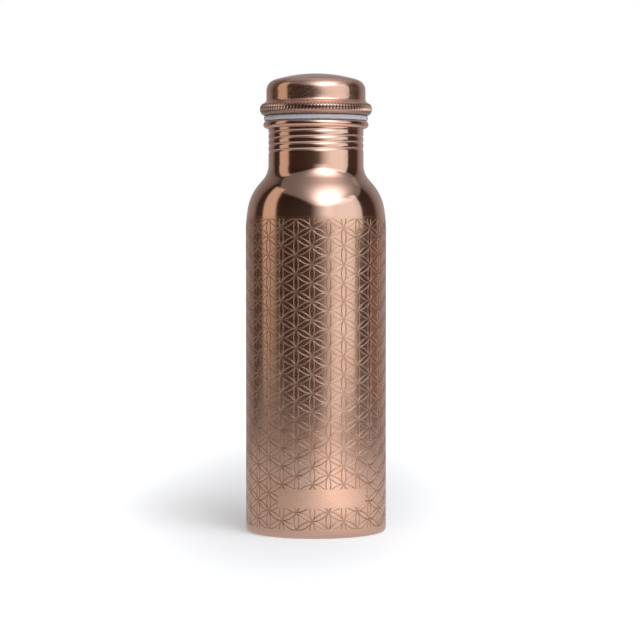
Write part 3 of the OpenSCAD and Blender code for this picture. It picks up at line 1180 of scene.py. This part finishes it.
def make_camera():
    """A long lens at about two thirds of the bottle's height, a little over a metre away."""
    data = bpy.data.cameras.new("camera")
    data.lens = CAMERA_LENS
    data.sensor_width = CAMERA_SENSOR
    camera = bpy.data.objects.new("camera", data)
    camera.location = CAMERA_PLACE
    camera.rotation_mode = "XYZ"
    camera.rotation_euler = (np.radians(90 - CAMERA_DOWN), 0, np.radians(CAMERA_TURN))
    bpy.context.scene.collection.objects.link(camera)
    bpy.context.scene.camera = camera


# ---------------------------------------------------------------- the scene

make_camera()
studio_world()
make_floor()
softbox(
    "right_box",
    azimuths=(3, 75),
    heights=(-0.25, 1.0),
    radiance=0.86,
    feather=(0.52, 0.25, 0.1, 0.02),
    colour=(0.98, 1, 1),
)
softbox(
    "right_box_top",
    azimuths=(59, 84),
    heights=(0.15, 1.0),
    radiance=0.72,
    feather=(0.6, 0.15, 0.1, 0.06),
    colour=(0.98, 1, 1),
)
softbox(
    "left_strip",
    azimuths=(-102.6, -70.6),
    heights=(-0.146, 1.4),
    radiance=0.57,
    feather=(0.08, 0.2, 0.07, 0.233),
    colour=(1, 0.82, 0.65),
    lean=12,
)
softbox(
    "front_glow",
    azimuths=(-10, 36),
    heights=(0.19, 0.75),
    distance=1.05,
    radiance=0.55,
    feather=(0.5, 0.45, 0.05, 0.4),
    colour=(0.97, 0.99, 1),
)
softbox(
    "side_wall",
    azimuths=(97, 123),
    heights=(-0.3, 0.165),
    radiance=0.17,
    feather=(0.2, 0.3, 0.08, 0.02),
    colour=(1, 0.54, 0.38),
)
softbox(
    "key",
    azimuths=(0, 45),
    heights=(0.7, 1.4),
    distance=0.8,
    radiance=2.4,
    feather=(0.1, 0.1, 0.1, 0.1),
    tilt=50,
    seen=False,
)
overhead_panel()

bpy.context.scene.view_settings.view_transform = "Standard"

polished = copper(
    "polished_copper",
    light=(0.93, 0.625, 0.505),
    dark=(0.90, 0.565, 0.435),
    rough=0.11,
    brush=0.12,
)
barrel_copper = copper(
    "barrel_copper",
    light=(0.93, 0.61, 0.465),
    dark=(0.89, 0.55, 0.40),
    rough=0.12,
    haze=0.16,
)
etched = copper(
    "etched_copper",
    light=(0.70, 0.445, 0.34),
    dark=(0.63, 0.39, 0.285),
    rough=0.33,
    rough_spread=0.05,
    anisotropy=0.0,
    grain=0.3,
)
lid_copper = copper(
    "lid_copper",
    light=(0.93, 0.615, 0.50),
    dark=(0.90, 0.56, 0.43),
    rough=0.11,
    brush=0.12,
    haze=0.27,
)
# Darker copper on the knurled bead: painted shade, with a rougher real finish.
bead_copper_painted_shade = copper(
    "bead_copper_painted_shade",
    light=(0.56, 0.37, 0.30),
    dark=(0.50, 0.32, 0.25),
    rough=0.24,
    rough_spread=0.05,
)
# Near-black copper in the knurl's deep notches: painted shade.
notch_painted_shade = copper(
    "notch_painted_shade",
    light=(0.14, 0.085, 0.065),
    dark=(0.10, 0.055, 0.042),
    rough=0.5,
    rough_spread=0.06,
    anisotropy=0.0,
)
plain = copper(
    "plain_copper",
    light=(0.82, 0.47, 0.32),
    dark=(0.72, 0.37, 0.24),
    rough=0.27,
    rough_spread=0.05,
    brush=0.3,
)

bottle, kinds = make_bottle()
lid = make_lid()
plug = make_plug()
gasket = make_ring("silicone_gasket", gasket_outline(), closed=True)
disc = make_ring("pressed_base", disc_outline(), closed=False)

for obj, node, body, slot, materials in (
    (bottle, "bottle_body", "bottle", "engraved_copper", (polished, barrel_copper, etched)),
    (disc, "base_disc", "bottle", "plain_copper", (plain,)),
    (gasket, "cap_gasket", "seal", "white_silicone", (silicone(),)),
    (lid, "cap_shell", "cap", "cap_copper", (lid_copper, bead_copper_painted_shade, notch_painted_shade)),
    (plug, "cap_plug", "cap", "plain_copper", (plain,)),
):
    for material in materials:
        obj.data.materials.append(material)
    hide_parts(node)
    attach(obj, body)

# By kind of face: FLAT, FLOOR, GROOVE_SIDE and TURNED, as places in the bottle's materials.
material_of = np.array([1, 2, 2, 0], np.int32)
bottle.data.polygons.foreach_set("material_index", material_of[kinds])
